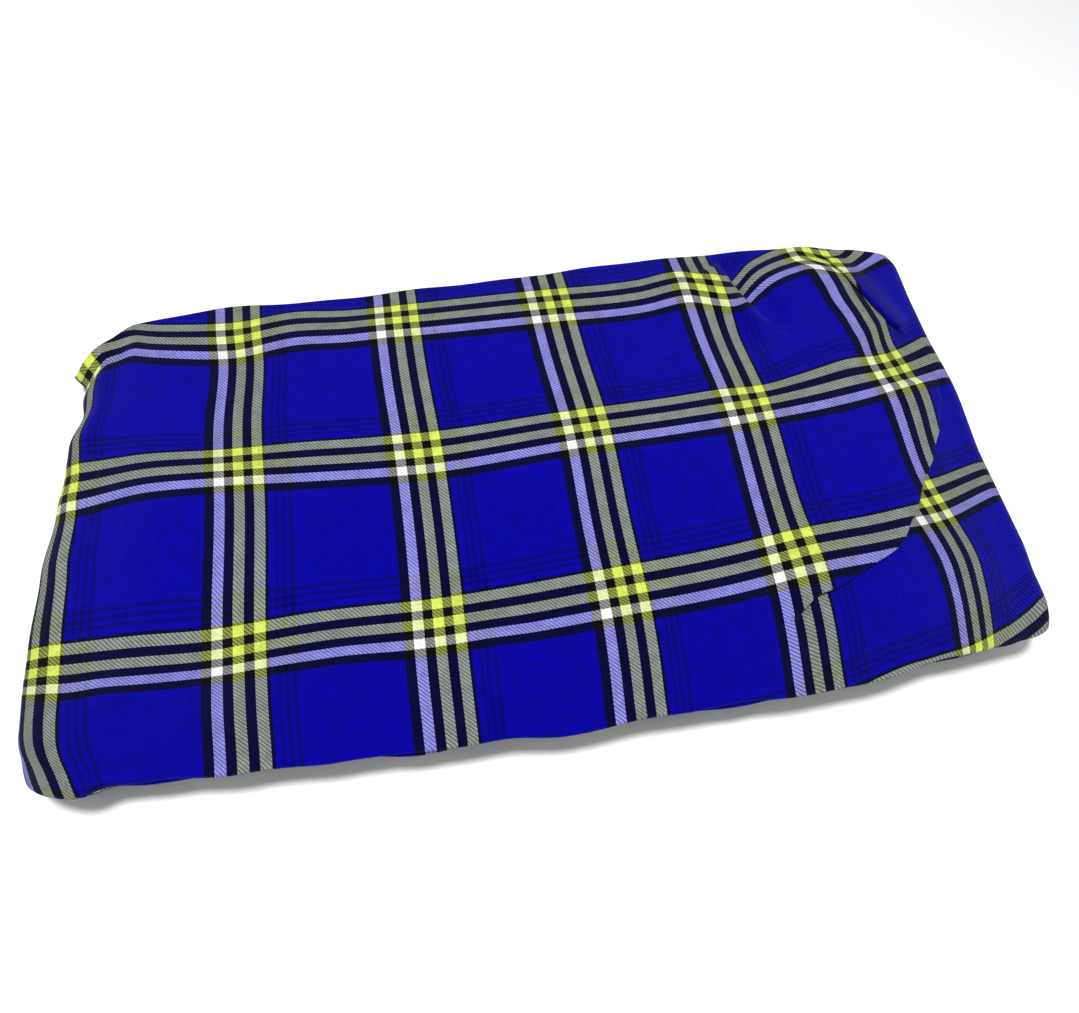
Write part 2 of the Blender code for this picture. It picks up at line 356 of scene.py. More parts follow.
    def sweep(self) -> tuple[ClothPoints, list[tuple[int, ...]]]:
        """Sweeps the section along the path.

        Returns:
            The points of the straight packet, and the faces between them.
        """
        sizes = self.sizes
        x, z, heading, slip = np.array(self.path()).T
        reach = (sizes.plies - 1) / 2 * sizes.ply_pitch
        outer = np.stack((x - reach * np.sin(heading), z + reach * np.cos(heading)))
        length = np.concatenate(((0.0,), np.cumsum(np.hypot(*np.diff(outer, axis=1)))))
        on_top = (heading == 0.0) & (z > sizes.top_run_base)
        length += x[on_top][0] - length[on_top][0]
        y, h, across, side = self._loop(length)
        column = (slice(None), None)
        place = np.stack((x[column] - h * np.sin(heading[column]) + slip[column] * h / sizes.outer_ply,
                          y,
                          z[column] + h * np.cos(heading[column]) - sizes.floor_drop), axis=2)
        cloth = np.stack((length[column] + 0 * y, across), axis=2)
        sides = on_top[column] * side[None]
        rings, count = y.shape
        ring, i = np.meshgrid(np.arange(rings - 1), np.arange(count), indexing="ij")
        j = (i + 1) % count
        quads = np.stack((ring * count + i, ring * count + j, (ring + 1) * count + j,
                          (ring + 1) * count + i), axis=2).reshape(-1, 4)
        faces = [tuple(quad) for quad in quads.tolist()]
        faces += self._caps(count, (rings - 1) * count)
        points = ClothPoints(place.reshape(-1, 3), cloth.reshape(-1, 2), sides.reshape(-1))
        return points, faces

    def _caps(self, count: int, last: int) -> list[tuple[int, ...]]:
        """Faces that close both cut ends of the strip."""
        face = (count - 2 * (self.edge_steps - 1)) // 2
        start = face + self.edge_steps - 1
        strips = [(i, i + 1, start + face - 2 - i, start + face - 1 - i) for i in range(face - 1)]
        strips.append(tuple(range(face - 1, start + 1)))
        strips.append(tuple(range(start + face - 1, count)) + (0,))
        first = [tuple(reversed(strip)) for strip in strips]
        return first + [tuple(last + index for index in strip) for strip in strips]


@dataclass
class Tuck:
    """A tuck: the top ply folded over itself along a curve. The slanting one at the right by default.

    Attributes:
        centre: the point in plan that the curve runs round.
        edge: the curve, as pairs of an angle round the centre and a distance from it.
        hold: how much of the tuck there is at each angle, from 0 to 1.
        band: the width of straight cloth that is folded.
        hidden: the length of cloth that the fold hides.
        radius: the radius of the fold's two turns.
        rise: how far before the fold the ply begins to lift.
        lift_share: the hold from which the ply lifts in full.
        spread: how far past the fold the hidden cloth still shifts the check.
        turn_cuts: cuts along each of the two turns.
        samples: steps in which the fold's section is worked out.
    """

    centre: tuple[float, float] = (0.111, 0.030)
    edge: Table = ((-1.75, 0.138), (-1.60, 0.1317), (-1.44, 0.1228), (-1.22, 0.1203), (-1.04, 0.1214),
                   (-0.84, 0.1170), (-0.64, 0.1153), (-0.48, 0.1196), (-0.27, 0.1248), (-0.14, 0.1278),
                   (-0.03, 0.1330), (0.06, 0.1400))
    hold: Table = ((-1.64, 0.0), (-1.50, 0.28), (-1.25, 0.55), (-0.95, 1.0), (-0.16, 1.0), (-0.02, 0.0))
    band: float = 0.008
    hidden: float = 0.018
    radius: float = 0.00085
    rise: float = 0.045
    lift_share: float = 0.3
    spread: float = 10.0
    turn_cuts: tuple[int, int] = (8, 7)
    samples: int = 800

    @property
    def overlap(self) -> float:
        """How far the fold lies over the cloth beyond it."""
        return self.hidden / 2 - (math.pi - 1) * self.radius

    def _turns(self) -> tuple[float, float, float, float]:
        """Lengths along the cloth, from the band's start, at which the two turns begin and end."""
        lip = self.band / 2 - self.radius
        under = lip + math.pi * self.radius
        back = under + self.overlap - self.radius
        return lip, under, back, back + math.pi * self.radius

    def levels(self) -> list[float]:
        """Distances from the tuck's edge along which the top ply is cut, so that it can fold there."""
        lip, under, back, out = self._turns()
        first, second = self.turn_cuts
        whole = self.band + self.hidden
        lengths = [0.0, *np.linspace(lip, under, first), (under + back) / 2,
                   *np.linspace(back, out, second), (out * 2 + whole) / 3, (out + 2 * whole) / 3, whole]
        return [-self.band / 2 + length * self.band / whole for length in lengths]

    def measure(self, plan: np.ndarray) -> tuple[np.ndarray, np.ndarray, np.ndarray]:
        """Measures points of the straight packet from the tuck.

        Args:
            plan: x and y of each point.

        Returns:
            The distance past the tuck's edge, the direction across it and how much it holds there.
        """
        out = plan - np.array(self.centre)
        radius = np.hypot(out[:, 0], out[:, 1])
        angle = np.arctan2(out[:, 1], out[:, 0])
        return radius - read_table(self.edge, angle), out / radius[:, None], read_table(self.hold, angle)

    def hidden_cloth(self, plan: np.ndarray) -> np.ndarray:
        """How far the place on the flat cloth runs ahead of the place on the packet, as x and y."""
        past, across, hold = self.measure(plan)
        share = np.clip(past / self.band + 0.5, 0.0, 1.0) * (1 - smooth(past, 0.0, self.spread))
        return across * (hold * self.hidden * share)[:, None]

    def fold(self, points: ClothPoints, straight: np.ndarray, thickness: float) -> None:
        """Folds the top ply over itself, both faces of it.

        Args:
            points: the points of the cloth, whose places it changes.
            straight: x and y of each point before any tuck was folded.
            thickness: the thickness of a ply.
        """
        top = points.side != TopSide.NONE.value
        place, off = points.place[top], points.side[top] * thickness / 2
        past, across, hold = self.measure(straight[top])
        whole = self.band + self.hidden
        lip, under, back, out = self._turns()
        length = np.linspace(0.0, whole, self.samples)
        heading = np.interp(length, (lip, under, back, out), (0.0, math.pi, math.pi, 0.0))
        middle = (heading[1:] + heading[:-1]) / 2
        ahead, down = (np.concatenate(((0.0,), np.cumsum(part) * length[1]))
                       for part in (np.cos(middle), np.sin(middle)))
        reach, drop = ahead - self.band / 2, 4 * self.radius - down
        inside = np.clip(past / self.band + 0.5, 0.0, 1.0) * whole
        in_band = (inside > 0.0) & (inside < whole)
        turn = np.where(in_band, np.interp(inside, length, heading), 0.0)
        folded = np.where(in_band, np.interp(inside, length, reach), past)
        flap = 4 * self.radius * smooth(past, -self.rise, -self.overlap - 2 * self.radius)
        lift = np.where(past > 0, 0.0, flap)
        lift = np.where(in_band, np.interp(inside, length, drop), lift)
        holds_up = np.clip(hold / self.lift_share, 0.0, 1.0)
        stretch = np.where(in_band, whole / self.band, 1.0)
        tilt = np.arctan2(holds_up * np.sin(turn) * stretch, hold * np.cos(turn) * stretch + 1 - hold)
        shift = hold * (folded - past) + off * np.sin(tilt)
        place[:, :2] += across * shift[:, None]
        place[:, 2] += holds_up * lift + off * (np.cos(tilt) - 1)
        points.place[top] = place


@dataclass
class HandFold:
    """What a hand does to a straight packet: its outline, its swell, its ridges and its dents.

    The four edge tables are those of the CAD model. Each has pairs of a share of the way along that
    side, from the front or from the left, and how far the outline lies outside the straight one.
    """

    sizes: PacketSizes = field(default_factory=PacketSizes)
    left_edge: Table = (
        (0.0, 0.0049), (0.06, 0.0025), (0.13, 0.0016), (0.22, 0.0019), (0.32, 0.0012), (0.45, -0.0013),
        (0.58, -0.0062), (0.66, -0.0088), (0.72, -0.0094), (0.84, -0.0159), (0.94, -0.012),
        (1.0, 0.0022))
    right_edge: Table = (
        (0.0, -0.0103), (0.1, -0.0093), (0.2, -0.0072), (0.38, -0.0068), (0.58, -0.0024), (0.7, -0.0037),
        (0.8, -0.0033), (1.0, -0.0014))
    front_edge: Table = (
        (0.0, -0.0132), (0.05, -0.0115), (0.08, -0.015), (0.12, -0.0136), (0.2, -0.0117),
        (0.28, -0.0082), (0.36, -0.0045), (0.42, -0.005), (0.48, -0.0022), (0.54, -0.0018),
        (0.64, -0.0005), (0.76, 0.0), (0.86, -0.0034), (0.93, -0.0054), (1.0, -0.0079))
    back_edge: Table = (
        (0.0, -0.0112), (0.04, -0.0037), (0.08, 0.0013), (0.2, 0.0061), (0.35, 0.0018), (0.55, 0.0032),
        (0.78, 0.0033), (0.87, 0.0004), (0.94, -0.0073), (1.0, -0.013))
    edge_pull: tuple[float, float] = (0.075, 0.085)
    edge_hold: float = 0.004
    corners: tuple[Corner, ...] = (Corner(-1, 1, 0.046, 0.022), Corner(-1, -1, 0.034, 0.028),
                                   Corner(1, 1, 0.014, 0.018), Corner(1, -1, 0.016, 0.020))
    corner_pull: float = 0.29
    foot_level: float = 0.2
    top_level: float = 0.8
    drift: tuple[float, float] = (0.0015, -0.0080)
    swell_height: float = 0.0032
    swell_power: int = 4
    billow: float = 0.0020
    window: tuple[float, float] = (0.045, 0.030)
    creases: tuple[Crease, ...] = (
        Crease(0.120, 0.134, 0.134, 0.078, 0.016, 0.0022),
        Crease(0.198, 0.122, 0.226, 0.050, 0.014, 0.0022),
        Crease(-0.080, 0.125, -0.060, 0.040, 0.022, 0.0014),
        Crease(-0.215, -0.120, -0.165, -0.060, 0.018, -0.0016),
        Crease(0.139, 0.134, 0.161, 0.070, 0.009, -0.0034))

    def apply(self, points: ClothPoints) -> None:
        """Pulls every point from the straight packet to the folded one."""
        x, y, z = points.place.T
        top = points.side != TopSide.NONE.value
        lifted = z + self._swell(x, y, z) + np.where(top, self._relief(x, y), 0.0)
        new_x, new_y = self._outline(x, y, z)
        points.place = np.stack((new_x, new_y, lifted), axis=1)

    def _swell(self, x: np.ndarray, y: np.ndarray, z: np.ndarray) -> np.ndarray:
        """The top run's plies stand further apart in the middle of the packet than at its edges."""
        sizes = self.sizes
        level = np.clip((z - sizes.top_run_base) / sizes.strip_height, 0.0, 1.1)
        across_x = (2 * x - sizes.run_right - sizes.run_left) / (sizes.run_right - sizes.run_left)
        over_x = np.maximum(0.0, 1 - across_x ** self.swell_power)
        over_y = np.maximum(0.0, 1 - (y / sizes.ply_reach) ** self.swell_power)
        return self.swell_height * level * over_x * over_y

    def _relief(self, x: np.ndarray, y: np.ndarray) -> np.ndarray:
        """Height of the top ply's own billow and creases."""
        sizes, (edge_x, edge_y) = self.sizes, self.window
        height = self.billow + sum(self._crease(crease, x, y) for crease in self.creases)
        window = smooth(x, sizes.run_left, sizes.run_left + edge_x)
        window *= 1 - smooth(x, sizes.run_right - edge_x, sizes.run_right)
        window *= 1 - smooth(np.abs(y), sizes.ply_reach - edge_y, sizes.ply_reach)
        return np.maximum(0.0, height) * window

    @staticmethod
    def _crease(crease: Crease, x: np.ndarray, y: np.ndarray) -> np.ndarray:
        """Height that one crease or ridge adds."""
        along_x, along_y = crease.to_x - crease.from_x, crease.to_y - crease.from_y
        length = math.hypot(along_x, along_y)
        along = ((x - crease.from_x) * along_x + (y - crease.from_y) * along_y) / length
        across = ((y - crease.from_y) * along_x - (x - crease.from_x) * along_y) / length
        ends = smooth(along, -crease.half_width, crease.half_width)
        ends *= 1 - smooth(along, length - crease.half_width, length + crease.half_width)
        return crease.height * ends * np.exp(-(across / crease.half_width) ** 2)

    def _outline(self, x: np.ndarray, y: np.ndarray, z: np.ndarray) -> tuple[np.ndarray, np.ndarray]:
        """Moves points in plan, from the straight rectangle to the packet's uneven outline."""
        sizes = self.sizes
        share_x = np.clip(x / sizes.length + 0.5, 0.0, 1.0)
        share_y = np.clip(y / sizes.depth + 0.5, 0.0, 1.0)
        sides = zip((x, y), (sizes.length / 2, sizes.depth / 2), self.edge_pull)
        pull_x, pull_y = (smooth(np.abs(part), half - reach, half - self.edge_hold)
                          for part, half, reach in sides)
        right, left = (read_table(edge, share_y) for edge in (self.right_edge, self.left_edge))
        back, front = (read_table(edge, share_x) for edge in (self.back_edge, self.front_edge))
        new_x = x + np.where(x > 0, right, -left) * pull_x
        new_y = y + np.where(y > 0, back, -front) * pull_y
        level = smooth(z / sizes.height, self.foot_level, self.top_level)
        for corner in self.corners:
            here = (x * corner.side_x > 0) & (y * corner.side_y > 0)
            radius = corner.radius_foot + (corner.radius_top - corner.radius_foot) * level
            past_x = np.maximum(0.0, np.abs(x) - sizes.length / 2 + radius) / radius
            past_y = np.maximum(0.0, np.abs(y) - sizes.depth / 2 + radius) / radius
            pull = self.corner_pull * radius * here
            new_x = new_x - corner.side_x * pull * past_y ** 2 * pull_x
            new_y = new_y - corner.side_y * pull * past_x ** 2 * pull_y
        rise = z / sizes.height
        return new_x + self.drift[0] * rise, new_y + self.drift[1] * rise


BACK_LINE: Table = (
    (-0.85, -0.21), (-0.35, -0.06), (0.1, 0.04), (0.5, -0.01), (0.8, 0.01), (1.2, 0.02), (2.0, 0.05),
    (2.7, 0.07), (3.0, 0.04), (3.3, 0.15), (3.5, -0.01), (3.85, -0.14), (4.1, -0.10))


@dataclass
class CheckPlace:
    """Where the check lies on the cloth, and how far its lines wander from straight.

    Lines are numbered by their place, in repeats: columns from the left, and rows from the front up
    to 0 at the back. Each line's table has pairs of a place along it and its wander, in repeats.
    """

    sizes: PacketSizes = field(default_factory=PacketSizes)
    repeat: float = 0.091
    origin: tuple[float, float] = (1.78, -1.12)
    columns: dict[int, Table] = field(default_factory=lambda: {
        -1: ((-2.6, -0.06), (-2.3, 0.02), (-1.9, 0.03), (-1.4, 0.06), (-0.8, 0.11), (-0.2, 0.18),
             (0.35, 0.14)),
        0: ((-2.6, 0.01), (-1.8, 0.01), (-1.1, -0.01), (-0.5, -0.01), (-0.1, -0.04), (0.15, -0.02),
             (0.35, -0.01)),
        1: ((-2.6, 0.0), (-2.1, -0.01), (-1.5, -0.03), (-0.9, -0.03), (-0.3, -0.01), (0.3, -0.01)),
        2: ((-2.6, 0.04), (-2.1, 0.0), (-1.5, -0.01), (-0.9, -0.03), (-0.3, 0.0), (0.3, 0.01)),
        3: ((-2.6, 0.09), (-2.1, 0.03), (-1.5, 0.0), (-0.9, -0.03), (-0.3, 0.0), (0.3, -0.01)),
        4: ((-2.6, 0.07), (-2.1, -0.07), (-1.5, -0.01), (-0.9, -0.06), (-0.3, 0.04), (0.3, 0.12)),
    })
    rows: dict[int, Table] = field(default_factory=lambda: {
        -3: ((-0.85, -0.05), (-0.4, -0.01), (0.0, 0.01), (0.5, 0.03), (1.2, 0.03), (2.0, 0.0),
             (2.7, -0.05), (3.2, -0.10), (3.7, -0.09), (4.1, -0.03), (4.5, -0.07)),
        -2: ((-0.85, -0.06), (-0.4, -0.01), (0.0, 0.02), (0.5, 0.01), (1.2, 0.04), (2.0, 0.03),
             (2.7, 0.01), (3.2, -0.03), (3.7, -0.04), (4.1, -0.09), (4.5, -0.25)),
        -1: ((-0.85, -0.12), (-0.4, -0.15), (0.0, -0.12), (0.5, -0.06), (1.2, 0.0), (2.0, -0.02),
             (2.7, -0.02), (3.2, -0.03), (3.7, -0.06), (4.1, -0.11), (4.5, -0.17)),
        0: (*BACK_LINE, (4.5, -0.30)),
        1: (*BACK_LINE, (4.5, -0.45)),
    })

    def weave_place(self, cloth: np.ndarray, tucks: tuple[Tuck, ...]) -> np.ndarray:
        """Finds each point's place in the check.

        Args:
            cloth: places on the flat cloth, along and across it, in metres.
            tucks: the tucks, which hide parts of the cloth.

        Returns:
            The places in the check, in repeats, with a white line's middle at each whole number.
        """
        sizes = self.sizes
        low = np.array((sizes.run_left, -sizes.ply_reach))
        high = np.array((sizes.run_right, sizes.ply_reach))
        on_top = np.clip(cloth, low, high)
        hidden = sum(tuck.hidden_cloth(on_top) for tuck in tucks)
        place = (cloth + hidden) / self.repeat + np.array(self.origin)
        near = on_top / self.repeat + np.array(self.origin)
        wander_x = self._between_lines(self.columns, near[:, 0], near[:, 1])
        wander_y = self._between_lines(self.rows, near[:, 1], near[:, 0])
        return place + np.stack((wander_x, wander_y), axis=1)

    @staticmethod
    def _between_lines(lines: dict[int, Table], across: np.ndarray, along: np.ndarray) -> np.ndarray:
        """Wander of the check between the lines whose own wander is known, in repeats."""
        numbers = sorted(lines)
        values = np.stack([read_curve(lines[number], along) for number in numbers])
        here = np.clip(np.searchsorted(numbers, across, side="right") - 1, 0, len(numbers) - 2)
        share = smooth(across, np.array(numbers)[here], np.array(numbers)[here + 1])
        index = np.arange(len(across))
        return values[here, index] * (1 - share) + values[here + 1, index] * share


class Wire:
    """A number that runs through a shader. Python's operators on it add Math nodes."""

    def __init__(self, finish: "Finish", socket: bpy.types.NodeSocket) -> None:
        """Wraps a socket of the finish's node tree."""
        self.finish = finish
        self.socket = socket

    def math(self, operation: str, *others: "Wire | float") -> "Wire":
        """Adds one Math node that takes this number first."""
        values = {index: value for index, value in enumerate((self, *others))}
        return self.finish.wire("ShaderNodeMath", {"operation": operation}, values)

    def __add__(self, other: "Wire | float") -> "Wire":
        """Sum."""
        return self.math("ADD", other)

    __radd__ = __add__

    def __sub__(self, other: "Wire | float") -> "Wire":
        """Difference."""
        return self.math("SUBTRACT", other)

    def __rsub__(self, other: float) -> "Wire":
        """Difference from a plain number."""
        return self.finish.wire("ShaderNodeMath", {"operation": "SUBTRACT"}, {0: other, 1: self})

    def __mul__(self, other: "Wire | float") -> "Wire":
        """Product."""
        return self.math("MULTIPLY", other)

    __rmul__ = __mul__

    def __truediv__(self, other: "Wire | float") -> "Wire":
        """Quotient."""
        return self.math("DIVIDE", other)

    def __lt__(self, other: "Wire | float") -> "Wire":
        """1 where this is less than the other, and 0 elsewhere."""
        return self.math("LESS_THAN", other)

    def floor(self) -> "Wire":
        """The whole number below."""
        return self.math("FLOOR")

    def fraction(self) -> "Wire":
        """What is left over the whole number below."""
        return self.math("FRACT")

    def sine(self) -> "Wire":
        """Sine of an angle in radians."""
        return self.math("SINE")


class Finish:
    """One material's node tree, and the one way in which nodes are added to it."""

    def __init__(self, name: str) -> None:
        """Makes an empty material of that name with its shader."""
        self.material = bpy.data.materials.new(name)
        self.material.use_nodes = True
        self.tree = self.material.node_tree
        self.shader = self.tree.nodes["Principled BSDF"]

    def node(self, kind: str, settings: dict[str, object] | None = None,
             sockets: dict[str | int, object] | None = None) -> bpy.types.Node:
        """Adds a node.

        Args:
            kind: the node's type.
            settings: its own settings, set first. "stops" fills its colour ramp.
            sockets: what goes into its inputs: a Wire, another node's socket or a plain value.

        Returns:
            The new node.
        """
        made = self.tree.nodes.new(kind)
        for name, value in (settings or {}).items():
            if name == "stops":
                self._fill_ramp(made.color_ramp, value)
            else:
                setattr(made, name, value)
        self.feed(made, sockets or {})
        return made

    def feed(self, node: bpy.types.Node, sockets: dict[str | int, object]) -> None:
        """Sets or links a node's inputs."""
        for name, value in sockets.items():
            if isinstance(value, Wire):
                value = value.socket
            if isinstance(value, bpy.types.NodeSocket):
                self.tree.links.new(value, node.inputs[name])
            else:
                node.inputs[name].default_value = value

    def wire(self, kind: str, settings: dict[str, object] | None = None,
             sockets: dict[str | int, object] | None = None) -> Wire:
        """Adds a node, and gives its first output as a Wire."""
        return Wire(self, self.node(kind, settings, sockets).outputs[0])

    @staticmethod
    def _fill_ramp(ramp: bpy.types.ColorRamp, stops: list[tuple[float, Colour]]) -> None:
        """Gives a colour ramp these stops, with a hard step at each."""
        ramp.interpolation = "CONSTANT"
        while len(ramp.elements) < len(stops):
            ramp.elements.new(1.0)
        for element, (position, colour) in zip(ramp.elements, stops):
            element.position = position
            element.color = colour


class Yarn(Enum):
    """Colours of the acrylic yarns. The fourth number says how far a crossing yarn shades each."""

    BLUE = (0.0125, 0.0012, 0.535, 0.90)
    NAVY = (0.0085, 0.0035, 0.290, 0.90)
    BLACK = (0.0050, 0.0050, 0.0070, 0.50)
    WHITE = (0.920, 0.920, 0.910, 0.55)
    YELLOW = (0.730, 0.830, 0.160, 0.45)


class Noise(NamedTuple):
    """A fine unevenness: its scale, how many finer layers it has and how much they tell."""

    scale: float
    layers: float
    roughness: float


@dataclass(frozen=True)
class CheckWeave:
    """The shuka's 2/2 twill, woven from the same chart of yarns along and across.

    Attributes:
        uv_map: the map that holds each point's place in the check, in repeats.
        chart: the thread at which each stripe ends, and its yarn.
        float_threads: how many threads a yarn passes over, and then under.
        fuzz_blend: how much of the hidden yarn shows through the one above it.
        crossing_grey: how far a crossing yarn shades by its grey and not by its colour.
        thread_depth: the height of a thread.
        float_arch: how much of that height is lost where the yarn dips.
    """

    uv_map: str = "cloth"
    repeat_threads: int = 176
    chart: tuple[tuple[float, Yarn], ...] = (
        (5.0, Yarn.WHITE), (14.0, Yarn.BLACK), (24.0, Yarn.YELLOW), (33.0, Yarn.BLACK),
        (43.0, Yarn.YELLOW), (46.0, Yarn.BLACK), (51.5, Yarn.BLUE), (54.5, Yarn.NAVY),
        (57.5, Yarn.BLUE), (61.5, Yarn.NAVY), (64.5, Yarn.BLUE), (68.5, Yarn.NAVY),
        (162.0, Yarn.BLUE), (171.0, Yarn.BLACK), (176.0, Yarn.WHITE))
    float_threads: int = 2
    fuzz_blend: float = 0.26
    crossing_grey: float = 0.55
    thread_variation: float = 0.16
    thread_depth: float = 0.00022
    float_arch: float = 0.6
    mottle_noise: Noise = Noise(150.0, 3.0, 0.6)
    mottle: float = 0.36
    fuzz_noise: Noise = Noise(900.0, 2.0, 0.7)
    fuzz: float = 0.30
    roughness: float = 0.86
    roughness_noise: Noise = Noise(450.0, 2.0, 0.5)
    roughness_variation: float = 0.08
    sheen: float = 0.05
    sheen_roughness: float = 0.45
    specular: float = 0.025

    def stops(self) -> list[tuple[float, Colour]]:
        """The chart as the stops of a ramp over one repeat."""
        starts = (0.0, *(end for end, _ in self.chart[:-1]))
        return [(start / self.repeat_threads, yarn.value)
                for start, (_, yarn) in zip(starts, self.chart)]

    def build(self) -> bpy.types.Material:
        """Makes the material of the check."""
        finish = Finish("check_twill")
        place = finish.node("ShaderNodeUVMap", {"uv_map": self.uv_map})
        parts = finish.node("ShaderNodeSeparateXYZ", None, {0: place.outputs[0]})
        warp, weft = (Wire(finish, parts.outputs[axis]) * self.repeat_threads for axis in (0, 1))
        cycle = 2 * self.float_threads
        along_weft = (warp + weft.floor()) / cycle
        along_warp = (warp.floor() + weft) / cycle
        warp_up = ((warp.floor() + weft.floor()) / cycle).fraction() < 0.5
        over, under = self._yarns(finish, warp, weft)
        shows = warp_up * (1 - 2 * self.fuzz_blend) + self.fuzz_blend
        colour = self._mix(finish, "MIX", shows, under, over)
        light = self._light(finish, warp, weft, warp_up)
        colour = self._mix(finish, "MULTIPLY", 1.0, colour, self._grey(finish, light))
        height = self._height(warp, weft, warp_up, along_warp, along_weft)
        bump = finish.node("ShaderNodeBump", None,
                           {"Strength": 1.0, "Distance": self.thread_depth, "Height": height})
        lowest = self.roughness - self.roughness_variation / 2
        finish.feed(finish.shader, {
            "Base Color": colour,
            "Roughness": self._noise(finish, self.roughness_noise) * self.roughness_variation + lowest,
            "Normal": bump.outputs[0],
            "Sheen Weight": self.sheen,
            "Sheen Roughness": self.sheen_roughness,
            "Specular IOR Level": self.specular,
        })
        return finish.material

    @staticmethod
    def _noise(finish: Finish, noise: Noise) -> Wire:
        """An unevenness over the object's own coordinates, about 0.5 on average."""
        place = finish.node("ShaderNodeTexCoord").outputs["Object"]
        return finish.wire("ShaderNodeTexNoise", {"noise_dimensions": "3D"}, {
            "Vector": place, "Scale": noise.scale, "Detail": noise.layers, "Roughness": noise.roughness})

    @staticmethod
    def _mix(finish: Finish, blend: str, factor: Wire | float, first: object,
             second: object) -> bpy.types.NodeSocket:
        """Mixes two colours."""
        node = finish.node("ShaderNodeMix", {"data_type": "RGBA", "blend_type": blend},
                           {0: factor, 6: first, 7: second})
        return node.outputs[2]

    @staticmethod
    def _grey(finish: Finish, value: Wire) -> bpy.types.NodeSocket:
        """A grey of that lightness."""
        return finish.node("ShaderNodeCombineColor", None, {0: value, 1: value, 2: value}).outputs[0]

    def _yarns(self, finish: Finish, warp: Wire, weft: Wire) -> list[bpy.types.NodeSocket]:
        """The two yarns at each place, each shaded by the one that it crosses.

        Args:
            finish: the material.
            warp: the place across the warp threads, in threads.
            weft: the place across the weft threads, in threads.

        Returns:
            The colours of the warp and of the weft.
        """
        ramps = []
        for thread in (warp, weft):
            at = ((thread.floor() + 0.5) / self.repeat_threads).fraction()
            ramps.append(finish.node("ShaderNodeValToRGB", {"stops": self.stops()}, {0: at}).outputs)
        colours = []
        for own, crossed in (ramps, ramps[::-1]):
            grey = finish.node("ShaderNodeRGBToBW", None, {0: crossed["Color"]}).outputs[0]
            pale = self._mix(finish, "LIGHTEN", self.crossing_grey, crossed["Color"], grey)
            shade = self._mix(finish, "MIX", own["Alpha"], (1.0, 1.0, 1.0, 1.0), pale)
            colours.append(self._mix(finish, "MULTIPLY", 1.0, own["Color"], shade))
        return colours

    def _light(self, finish: Finish, warp: Wire, weft: Wire, warp_up: Wire) -> Wire:
        """How light the cloth is at each place: threads differ, and the surface is fuzzy and mottled."""
        line = {"noise_dimensions": "1D"}
        along, across = (finish.wire("ShaderNodeTexWhiteNoise", line, {"W": thread.floor()})
                         for thread in (warp, weft))
        thread = along * warp_up + across * (1 - warp_up)
        light = (thread - 0.5) * self.thread_variation + 1.0
        for noise, amount in ((self.mottle_noise, self.mottle), (self.fuzz_noise, self.fuzz)):
            light = light * ((self._noise(finish, noise) - 0.5) * (2 * amount) + 1.0)
        return light

    def _height(self, warp: Wire, weft: Wire, warp_up: Wire, along_warp: Wire,
                along_weft: Wire) -> Wire:
        """Height of the threads: each is round, and dips where it goes under the others."""
        cycle = 2 * self.float_threads
        float_turn = math.pi * cycle / self.float_threads
        warp_float = (along_warp.fraction() * float_turn).sine().math("ABSOLUTE")
        weft_float = (along_weft.fraction() * float_turn).sine().math("ABSOLUTE")
        warp_round = (warp.fraction() * math.pi).sine()
        weft_round = (weft.fraction() * math.pi).sine()
        over = warp_round * (warp_float * self.float_arch + (1 - self.float_arch))
        across = weft_round * (weft_float * self.float_arch + (1 - self.float_arch))
        return over * warp_up + across * (1 - warp_up)


